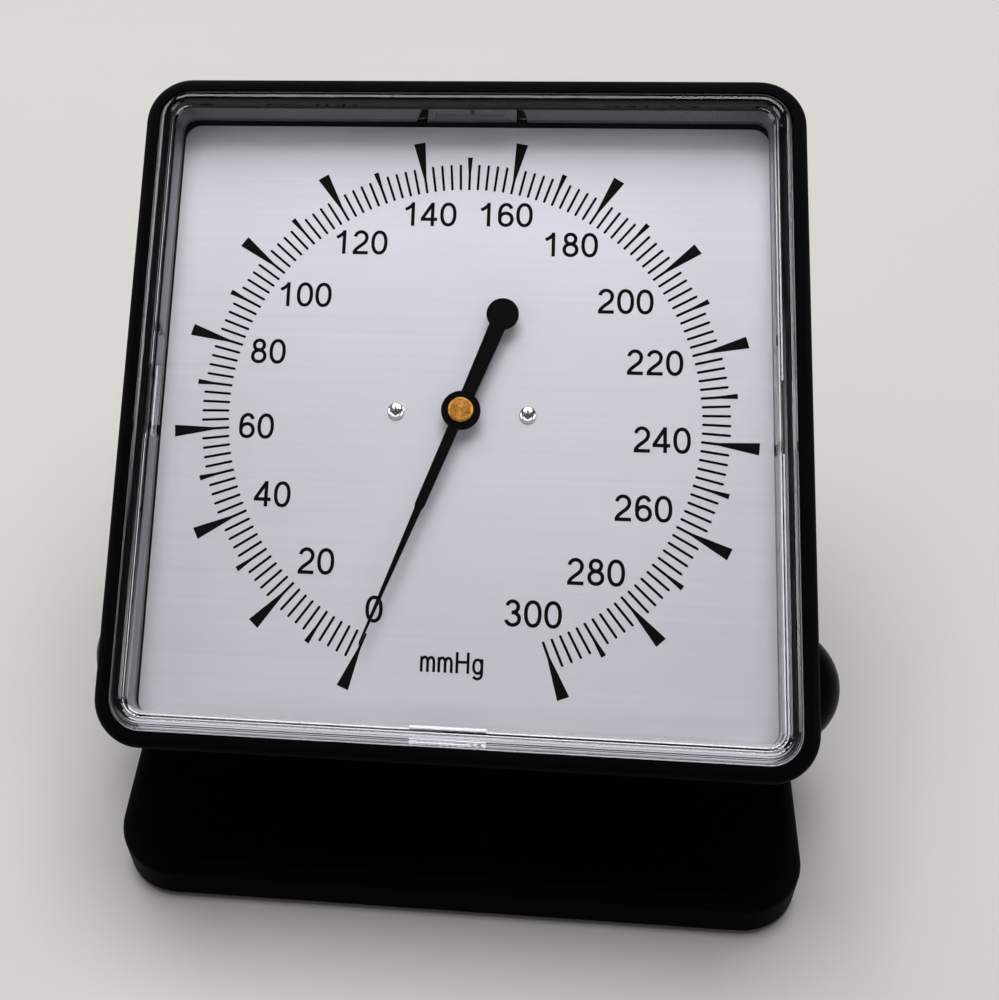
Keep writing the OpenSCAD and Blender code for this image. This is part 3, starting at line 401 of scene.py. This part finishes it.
def ink_material(context):
    """The ink of the printed scale, made once."""
    return (bpy.data.materials.get("black_ink")
            or satin_paint("black_ink", context.scene.gauge_finish.ink, rough=0.5))


def turned_metal(name, colour, rough, pitch, depth, pits=0.0):
    """Metal with the fine rings that a lathe leaves about the pointer's axis."""
    material, tree, shader = new_finish(name)
    flat = place(tree, stretch=(1, 1, 0), on_dial=True)
    radius = add(tree, "ShaderNodeVectorMath", operation="LENGTH")
    tree.links.new(flat, radius.inputs[0])
    wave = reckon(tree, "MULTIPLY", radius.outputs["Value"], 2 * math.pi / pitch)
    rings = reckon(tree, "SINE", wave)
    spots = noise(tree, place(tree), scale=1600, detail=4, rough=0.7)
    shader.inputs["Metallic"].default_value = 1.0
    mottle(tree, spots, shader, colour, dark=0.55, light=1.1, start=0.35, end=0.6)
    vary(tree, spots, shader.inputs["Roughness"], low=rough - 0.08, high=rough + 0.12)
    first = bump(tree, shader, rings, depth, strength=0.5)
    bump(tree, shader, spots, pits or depth, strength=0.5, under=first)
    return material


def plain_metal(name, colour, rough, grain=900, streak=(1, 1, 1)):
    """Metal with a light tooled surface."""
    material, tree, shader = new_finish(name)
    here = place(tree, stretch=streak, on_dial=True)
    fine = noise(tree, here, scale=grain, detail=4, rough=0.6)
    shader.inputs["Metallic"].default_value = 1.0
    mottle(tree, noise(tree, here, scale=grain / 12), shader, colour, dark=0.85, light=1.08)
    vary(tree, fine, shader.inputs["Roughness"], low=rough - 0.05, high=rough + 0.08)
    bump(tree, shader, fine, height=0.006 * MM, strength=0.4)
    return material


def rubber(name, colour, rough=0.75):
    """Matt rubber or pressed fibre with a fine tooth."""
    material, tree, shader = new_finish(name)
    here = place(tree)
    fine = noise(tree, here, scale=1400, detail=4, rough=0.7)
    shader.inputs["Specular IOR Level"].default_value = 0.25
    mottle(tree, fine, shader, colour, dark=0.7, light=1.3)
    vary(tree, fine, shader.inputs["Roughness"], low=rough - 0.08, high=rough + 0.08)
    bump(tree, shader, fine, height=0.02 * MM, strength=0.6)
    return material


def dress(material, *names):
    """Gives CAD nodes a finish and smooth shading between their sharp corners."""
    for name in names:
        mesh = NODES[name].data
        mesh.materials.clear()
        mesh.materials.append(material)
        mesh.shade_smooth()
        mesh.set_sharp_from_angle(angle=SHARP_CORNER)


# ---------------------------------------------------------------- shape helpers

def finish_piece(name, shape, material, body):
    """Turns a shape drawn on the dial into an object that rides on a body."""
    shape.transform(ON_DIAL)
    bmesh.ops.recalc_face_normals(shape, faces=shape.faces)
    mesh = bpy.data.meshes.new(name)
    shape.to_mesh(mesh)
    shape.free()
    mesh.materials.append(material)
    piece = bpy.data.objects.new(name, mesh)
    bpy.context.scene.collection.objects.link(piece)
    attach(piece, body)


def slab(shape, outline, low, high):
    """A flat closed solid with this outline, drawn on the dial."""
    top = [shape.verts.new((x, y, high)) for x, y in outline]
    bottom = [shape.verts.new((x, y, low)) for x, y in outline]
    shape.faces.new(top)
    shape.faces.new(bottom[::-1])
    for i in range(len(outline)):
        j = (i + 1) % len(outline)
        shape.faces.new((top[i], bottom[i], bottom[j], top[j]))


def ribbon(shape, path, width, low, high, closed=False):
    """A flat closed solid of even width along a path on the dial."""
    count = len(path)
    rows = []
    for i, (x, y) in enumerate(path):
        before = path[(i - 1) % count] if closed or i else path[i]
        after = path[(i + 1) % count] if closed or i < count - 1 else path[i]
        a = Vector((x - before[0], y - before[1]))
        b = Vector((after[0] - x, after[1] - y))
        a = a.normalized() if a.length > 0 else b.normalized()
        b = b.normalized() if b.length > 0 else a
        side = Vector((-(a.y + b.y), a.x + b.x)).normalized()
        reach = width / 2 / max(MITRE_LIMIT, side.dot(Vector((-a.y, a.x))))
        left, right = Vector((x, y)) + side * reach, Vector((x, y)) - side * reach
        rows.append([shape.verts.new((*left, high)), shape.verts.new((*right, high)),
                     shape.verts.new((*right, low)), shape.verts.new((*left, low))])
    for i in range(count if closed else count - 1):
        one, two = rows[i], rows[(i + 1) % count]
        for k in range(4):
            shape.faces.new((one[k], one[(k + 1) % 4], two[(k + 1) % 4], two[k]))
    if not closed:
        shape.faces.new(rows[0][::-1])
        shape.faces.new(rows[-1])


def character(shape, strokes, x, y, size, width, ink):
    """Prints one character with the middle of its foot at x, y."""
    for layer, (path, closed) in enumerate(strokes):
        ribbon(shape, [(x + px * size, y + py * size) for px, py in path], width * size,
               0, ink * (1 + layer * LAYER_LIFT), closed)


def fine_mark(rule):
    """Outline of a fine mark with round ends, straight up from the pointer's axis."""
    half = rule.mark_width / 2
    middle = (rule.mark_in + rule.mark_out) / 2
    reach = (rule.mark_out - rule.mark_in) / 2 - half
    return [(half * math.cos(a), middle + end * reach + half * math.sin(a))
            for end, start in ((1, 0), (-1, math.pi))
            for a in (start + k * math.pi / ROUND_STEPS for k in range(ROUND_STEPS + 1))]


def bold_mark(rule, width, neck, end):
    """Outline of a mark that flares outward, straight up from the pointer's axis."""
    half = rule.mark_width / 2
    swell, wide = half * NECK_SWELL, width / 2
    start, begin = rule.mark_in, rule.mark_in + neck
    return [(-half, start), (half, start), (swell, begin), (wide, end), (-wide, end),
            (-swell, begin)]


def oval(cx, cy, rx, ry, start=0, end=360, count=30, power=2.0):
    """Points round an oval, in degrees anticlockwise from the right. A higher power is squarer."""
    points = []
    full = abs(end - start) >= 360
    for i in range(count):
        a = math.radians(start + (end - start) * i / (count if full else count - 1))
        c, s = math.cos(a), math.sin(a)
        points.append((cx + rx * math.copysign(abs(c) ** (2 / power), c),
                       cy + ry * math.copysign(abs(s) ** (2 / power), s)))
    return points


def bend(p0, p1, p2, p3, count=10):
    """Points along a smooth bend from p0 to p3."""
    points = []
    for i in range(count + 1):
        t = i / count
        k = ((1 - t) ** 3, 3 * t * (1 - t) ** 2, 3 * t * t * (1 - t), t ** 3)
        points.append(tuple(sum(w * p[a] for w, p in zip(k, (p0, p1, p2, p3))) for a in (0, 1)))
    return points


# Strokes of the plain digits, for a height of 1: each is (path, closed)
DIGITS = {
    "0": [(oval(0, 0.5, 0.262, 0.441, power=2.25), True)],
    "1": [([(0.075, 0), (0.075, 1)], False),
          ([(0.075, 0.93), (0.0, 0.845), (-0.09, 0.77), (-0.235, 0.69)], False)],
    "2": [(oval(0.0, 0.7, 0.238, 0.241, 172, -20, 18)
           + bend((0.19, 0.535), (0.08, 0.38), (-0.2, 0.27), (-0.25, 0.075)), False),
          ([(-0.315, 0.059), (0.3, 0.059)], False)],
    "3": [(oval(-0.005, 0.735, 0.212, 0.206, 168, -90, 20), False),
          (oval(0.0, 0.292, 0.252, 0.233, 100, -168, 22), False)],
    "4": [([(0.115, 0), (0.115, 1)], False), ([(0.1, 0.93), (-0.305, 0.3)], False),
          ([(-0.36, 0.285), (0.31, 0.285)], False)],
    "6": [(oval(0.01, 0.315, 0.246, 0.256, power=2.1), True),
          (oval(0.025, 0.7, 0.212, 0.241, 15, 130, 12)
           + bend((-0.15, 0.86), (-0.22, 0.76), (-0.25, 0.62), (-0.238, 0.36)), False)],
    "8": [(oval(0, 0.742, 0.2, 0.199, power=2.1), True),
          (oval(0, 0.293, 0.248, 0.234, power=2.1), True)],
}
# Width of a digit's strokes, and from one digit's middle to the next, for a height of 1
DIGIT_WIDTH, DIGIT_ADVANCE = 0.14, 0.755
# Strokes of the unit, for a capital letter of height 1, after each letter's own width
LETTERS = {
    "m": (0.84, [([(-0.3, 0), (-0.3, 0.72)], False),
                 (bend((-0.3, 0.5), (-0.26, 0.74), (-0.02, 0.78), (0.0, 0.48)) + [(0.0, 0)], False),
                 (bend((0.0, 0.5), (0.04, 0.74), (0.28, 0.78), (0.3, 0.48)) + [(0.3, 0)], False)]),
    "H": (0.82, [([(-0.265, 0), (-0.265, 1)], False), ([(0.265, 0), (0.265, 1)], False),
                 ([(-0.265, 0.53), (0.265, 0.53)], False)]),
    "g": (0.66, [(oval(-0.01, 0.36, 0.2, 0.32, power=2.15), True),
                 ([(0.19, 0.72)] + bend((0.19, 0.05), (0.19, -0.3), (-0.16, -0.26), (-0.2, -0.1)),
                  False)]),
}
LETTER_WIDTH = 0.135         # of the strokes of a letter


# ---------------------------------------------------------------- operators

class GAUGE_OT_case(bpy.types.Operator):
    """Grained black plastic on the case and its rear cover"""
    bl_idname = "gauge.case"
    bl_label = "Case and cover"

    def execute(self, context):
        look = context.scene.gauge_finish
        plastic = moulded_plastic("case_plastic", look.case, rough=0.5, gloss=0.02, grain=2600,
                                  depth=0.12 * MM)
        dress(plastic, "front_case", "rear_cover")
        return {"FINISHED"}


class GAUGE_OT_window(bpy.types.Operator):
    """Clear acrylic on the tray-shaped window"""
    bl_idname = "gauge.window"
    bl_label = "Window"

    def execute(self, context):
        dress(clear_rim("acrylic_rim"), "window")
        window = NODES["window"].data
        window.materials.append(clear_sheet("acrylic_pane", ACRYLIC_IOR))
        window.materials.append(clear_sheet("acrylic_wall", WALL_IOR))
        window.shade_flat()
        for face in window.polygons:
            lean = abs(face.normal.dot(DIAL_OUT))
            if lean > SHEET_LEAN:
                face.material_index = SHEET_SLOT
            elif lean < WALL_LEAN:
                face.material_index = WALL_SLOT
        return {"FINISHED"}


class GAUGE_OT_dial(bpy.types.Operator):
    """Brushed silver on the dial plate"""
    bl_idname = "gauge.dial"
    bl_label = "Dial plate"

    def execute(self, context):
        dress(brushed_sheet("brushed_silver", context.scene.gauge_finish.dial), "dial_plate")
        return {"FINISHED"}


class GAUGE_OT_marks(bpy.types.Operator):
    """The printed marks round the dial"""
    bl_idname = "gauge.marks"
    bl_label = "Scale marks"

    def execute(self, context):
        rule = context.scene.gauge_scale
        shape = bmesh.new()
        for reading in range(0, rule.highest + 1, rule.mark_step):
            if reading % rule.ten_step:
                outline = fine_mark(rule)
            elif reading % rule.number_step:
                outline = bold_mark(rule, rule.ten_width, rule.ten_neck, rule.ten_out)
            else:
                outline = bold_mark(rule, rule.twenty_width, rule.twenty_neck, rule.twenty_out)
            turn = Matrix.Rotation((0.5 - reading / rule.highest) * rule.sweep, 2)
            slab(shape, [tuple(turn @ Vector(point)) for point in outline], 0, rule.ink)
        finish_piece("scale_marks", shape, ink_material(context), "head")
        return {"FINISHED"}


class GAUGE_OT_numbers(bpy.types.Operator):
    """The printed numbers along the scale"""
    bl_idname = "gauge.numbers"
    bl_label = "Scale numbers"

    def execute(self, context):
        rule = context.scene.gauge_scale
        size = rule.digit_height
        shape = bmesh.new()
        for reading, (x, y) in NUMBER_PLACES.items():
            digits = str(reading)
            for i, digit in enumerate(digits):
                middle = x * MM + (i - (len(digits) - 1) / 2) * DIGIT_ADVANCE * size
                character(shape, DIGITS[digit], middle, y * MM - size / 2, size, DIGIT_WIDTH, rule.ink)
        finish_piece("scale_numbers", shape, ink_material(context), "head")
        return {"FINISHED"}


class GAUGE_OT_unit(bpy.types.Operator):
    """The printed unit of pressure below the scale"""
    bl_idname = "gauge.unit"
    bl_label = "Unit"

    def execute(self, context):
        rule = context.scene.gauge_scale
        size = rule.unit_height
        shape = bmesh.new()
        word = "mmHg"
        x, y = (value * MM for value in UNIT_PLACE)
        x -= sum(LETTERS[letter][0] for letter in word) / 2 * size
        for letter in word:
            width, strokes = LETTERS[letter]
            character(shape, strokes, x + width / 2 * size, y, size, LETTER_WIDTH, rule.ink)
            x += width * size
        finish_piece("unit_mark", shape, ink_material(context), "head")
        return {"FINISHED"}


class GAUGE_OT_pointer(bpy.types.Operator):
    """Black pointer with its turned brass boss"""
    bl_idname = "gauge.pointer"
    bl_label = "Pointer"

    def execute(self, context):
        look = context.scene.gauge_finish
        dress(satin_paint("pointer_paint", look.ink, rough=0.36), "pointer")
        dress(turned_metal("turned_brass", look.brass, rough=0.34, pitch=0.42 * MM,
                           depth=0.02 * MM, pits=0.03 * MM), "pointer_boss")
        return {"FINISHED"}


class GAUGE_OT_screws(bpy.types.Operator):
    """Bright screws on the dial, in the head and under the foot, and the clamp bolts"""
    bl_idname = "gauge.screws"
    bl_label = "Screws and bolts"

    def execute(self, context):
        look = context.scene.gauge_finish
        dress(plain_metal("bright_steel", look.steel, rough=0.16), "dial_screws", "cover_screws",
              "pillar_screws", "post_screws", "foot_screws", "bolt_right", "bolt_left")
        return {"FINISHED"}


class GAUGE_OT_movement(bpy.types.Operator):
    """Brass plates and wheels, steel arbors, and plated steel on rocker, carrier and foot plate"""
    bl_idname = "gauge.movement"
    bl_label = "Movement"

    def execute(self, context):
        look = context.scene.gauge_finish
        dress(plain_metal("rolled_brass", look.brass, rough=0.3, grain=500, streak=(1, 12, 1)),
              "upper_plate", "lower_plate", "toothed_sector", "rocker_lugs")
        dress(turned_metal("lathe_brass", look.brass, rough=0.26, pitch=0.3 * MM, depth=0.008 * MM),
              "pinion", "hairspring_collet", "hairspring_stud", "short_pillars", "dial_posts",
              "long_posts", "hinge_inserts")
        dress(plain_metal("ground_steel", look.steel, rough=0.2, grain=1800), "pointer_arbor",
              "sector_arbor", "sector_pin", "rocker_shaft")
        dress(plain_metal("plated_steel", shade(look.steel, 0.85), rough=0.34, grain=700,
                          streak=(1, 9, 1)), "carrier_plate", "rocker", "foot_plate")
        return {"FINISHED"}


class GAUGE_OT_capsules(bpy.types.Operator):
    """Spring bronze on the capsules with their stud and on the hairspring"""
    bl_idname = "gauge.capsules"
    bl_label = "Capsules and hairspring"

    def execute(self, context):
        look = context.scene.gauge_finish
        dress(turned_metal("spun_bronze", look.bronze, rough=0.3, pitch=0.8 * MM, depth=0.006 * MM),
              "capsule_rear", "capsule_front")
        dress(plain_metal("spring_bronze", look.bronze, rough=0.25, grain=1500), "hairspring",
              "capsule_stud")
        return {"FINISHED"}


class GAUGE_OT_inlet(bpy.types.Operator):
    """Brass nipple and nut, with the rubber washer under them"""
    bl_idname = "gauge.inlet"
    bl_label = "Pressure inlet"

    def execute(self, context):
        look = context.scene.gauge_finish
        dress(turned_metal("inlet_brass", look.brass, rough=0.24, pitch=0.5 * MM, depth=0.006 * MM),
              "hose_nipple", "stem_nut")
        dress(rubber("washer_rubber", look.washer), "sealing_washer")
        return {"FINISHED"}


class GAUGE_OT_foot(bpy.types.Operator):
    """Satin black plastic on the foot, rubber under it and fibre in its hinges"""
    bl_idname = "gauge.foot"
    bl_label = "Foot and mat"

    def execute(self, context):
        look = context.scene.gauge_finish
        dress(moulded_plastic("foot_plastic", look.foot, rough=0.46, gloss=0.01, grain=3600,
                              depth=0.02 * MM), "foot")
        dress(rubber("mat_rubber", look.mat), "rubber_mat")
        dress(rubber("pressed_fibre", look.fibre, rough=0.8), "hinge_washers")
        return {"FINISHED"}


class GAUGE_OT_knobs(bpy.types.Operator):
    """Glossy black plastic on the clamp knobs"""
    bl_idname = "gauge.knobs"
    bl_label = "Clamp knobs"

    def execute(self, context):
        look = context.scene.gauge_finish
        dress(moulded_plastic("knob_plastic", look.knob, rough=0.22, gloss=0.01, grain=1200,
                              depth=0.006 * MM), "knob_right", "knob_left")
        return {"FINISHED"}


class GAUGE_OT_stage(bpy.types.Operator):
    """Pale table, soft light and the camera"""
    bl_idname = "gauge.stage"
    bl_label = "Stage"

    def execute(self, context):
        stage = context.scene.gauge_stage
        self.table(context, stage)
        self.room(context, stage)
        self.lamp(context, "soft_box", SOFT_BOX_PLACE, SOFT_BOX_SIZE, stage.overhead)
        self.lamp(context, "rear_lamp", REAR_LAMP_PLACE, REAR_LAMP_SIZE, stage.rear)
        self.camera(context, stage)
        context.scene.view_settings.view_transform = "Standard"
        return {"FINISHED"}

    def table(self, context, stage):
        """The round pale table top that the foot stands on."""
        shape = bmesh.new()
        bmesh.ops.create_circle(shape, cap_ends=True, segments=64, radius=stage.floor_size)
        mesh = bpy.data.meshes.new("table_top")
        shape.to_mesh(mesh)
        shape.free()
        material, tree, shader = new_finish("table_surface")
        here = place(tree)
        shader.inputs["Specular IOR Level"].default_value = 0.2
        soft = noise(tree, here, scale=3.0, detail=2)
        mottle(tree, soft, shader, stage.floor, dark=0.98, light=1.02)
        vary(tree, noise(tree, here, scale=40), shader.inputs["Roughness"], low=0.55, high=0.65)
        mesh.materials.append(material)
        table = bpy.data.objects.new("table_top", mesh)
        context.scene.collection.objects.link(table)

    def room(self, context, stage):
        """Even light for plain surfaces; the camera, gloss and clear pieces see a whole room."""
        world = bpy.data.worlds.new("room")
        context.scene.world = world
        world.use_nodes = True
        tree = world.node_tree
        even = tree.nodes["Background"]
        even.inputs["Color"].default_value = (*stage.sky_colour, 1)
        even.inputs["Strength"].default_value = stage.sky
        coords = add(tree, "ShaderNodeTexCoord")
        toward = add(tree, "ShaderNodeSeparateXYZ")
        tree.links.new(coords.outputs["Generated"], toward.inputs[0])
        across, height = toward.outputs["X"], toward.outputs["Z"]
        walls = between(tree, height, stage.backdrop, stage.ceiling, WALL_TOP, CEILING_FROM)
        away = reckon(tree, "ABSOLUTE", reckon(tree, "SUBTRACT", height, WINDOW_MIDDLE))
        band = between(tree, away, stage.windows, 0, WINDOW_HALF, WINDOW_HALF + WINDOW_FADE)
        beside = reckon(tree, "ADD", reckon(tree, "MULTIPLY", across, across), WINDOW_FRONT)
        seen = add(tree, "ShaderNodeBackground")
        tree.links.new(reckon(tree, "ADD", walls, reckon(tree, "MULTIPLY", band, beside)),
                       seen.inputs["Strength"])
        path = add(tree, "ShaderNodeLightPath")
        total = path.outputs["Is Camera Ray"]
        for name in ("Is Glossy Ray", "Is Transmission Ray"):
            total = reckon(tree, "MAXIMUM", total, path.outputs[name])
        blend(tree, total, even, seen, "World Output")

    def lamp(self, context, name, here, size, power):
        """A flat lamp that looks at the gauge."""
        data = bpy.data.lights.new(name, "AREA")
        data.shape = "RECTANGLE"
        data.size, data.size_y = size
        data.energy = power
        lamp = bpy.data.objects.new(name, data)
        lamp.location = here
        lamp.rotation_euler = (LAMP_AIM - here).to_track_quat("-Z", "Y").to_euler()
        context.scene.collection.objects.link(lamp)

    def camera(self, context, stage):
        """The camera, where the photo was taken from."""
        data = bpy.data.cameras.new("photo_camera")
        data.sensor_fit = "VERTICAL"
        data.sensor_height = SENSOR_HEIGHT
        data.lens = stage.focal
        data.shift_x, data.shift_y = stage.shift
        data.clip_start = 0.01
        data.clip_end = 20
        camera = bpy.data.objects.new("photo_camera", data)
        camera.location = stage.eye
        camera.rotation_euler = stage.turn
        context.scene.collection.objects.link(camera)
        context.scene.camera = camera


PIECES = (GAUGE_OT_case, GAUGE_OT_window, GAUGE_OT_dial, GAUGE_OT_marks, GAUGE_OT_numbers,
          GAUGE_OT_unit, GAUGE_OT_pointer, GAUGE_OT_screws, GAUGE_OT_movement, GAUGE_OT_capsules,
          GAUGE_OT_inlet, GAUGE_OT_foot, GAUGE_OT_knobs, GAUGE_OT_stage)
SETTINGS = (("gauge_scale", ScaleSettings), ("gauge_finish", FinishSettings),
            ("gauge_stage", StageSettings))


class GAUGE_PT_panel(bpy.types.Panel):
    """Lists the settings and the steps that dress the gauge"""
    bl_label = "Desk gauge"
    bl_idname = "GAUGE_PT_panel"
    bl_space_type = "VIEW_3D"
    bl_region_type = "UI"
    bl_category = "Desk gauge"

    def draw(self, context):
        for name, group in SETTINGS:
            box = self.layout.box()
            for key in group.__annotations__:
                box.prop(getattr(context.scene, name), key)
        for piece in PIECES:
            self.layout.operator(piece.bl_idname)


def register():
    """Adds the settings, the steps and the panel to Blender."""
    for name, group in SETTINGS:
        bpy.utils.register_class(group)
        setattr(bpy.types.Scene, name, PointerProperty(type=group))
    for piece in PIECES:
        bpy.utils.register_class(piece)
    bpy.utils.register_class(GAUGE_PT_panel)


def unregister():
    """Takes them away again."""
    bpy.utils.unregister_class(GAUGE_PT_panel)
    for piece in reversed(PIECES):
        bpy.utils.unregister_class(piece)
    for name, group in reversed(SETTINGS):
        delattr(bpy.types.Scene, name)
        bpy.utils.unregister_class(group)


def main():
    """Dresses the gauge."""
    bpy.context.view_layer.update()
    register()
    for piece in PIECES:
        group, name = piece.bl_idname.split(".")
        getattr(getattr(bpy.ops, group), name)()


if __name__ == "__main__":
    main()
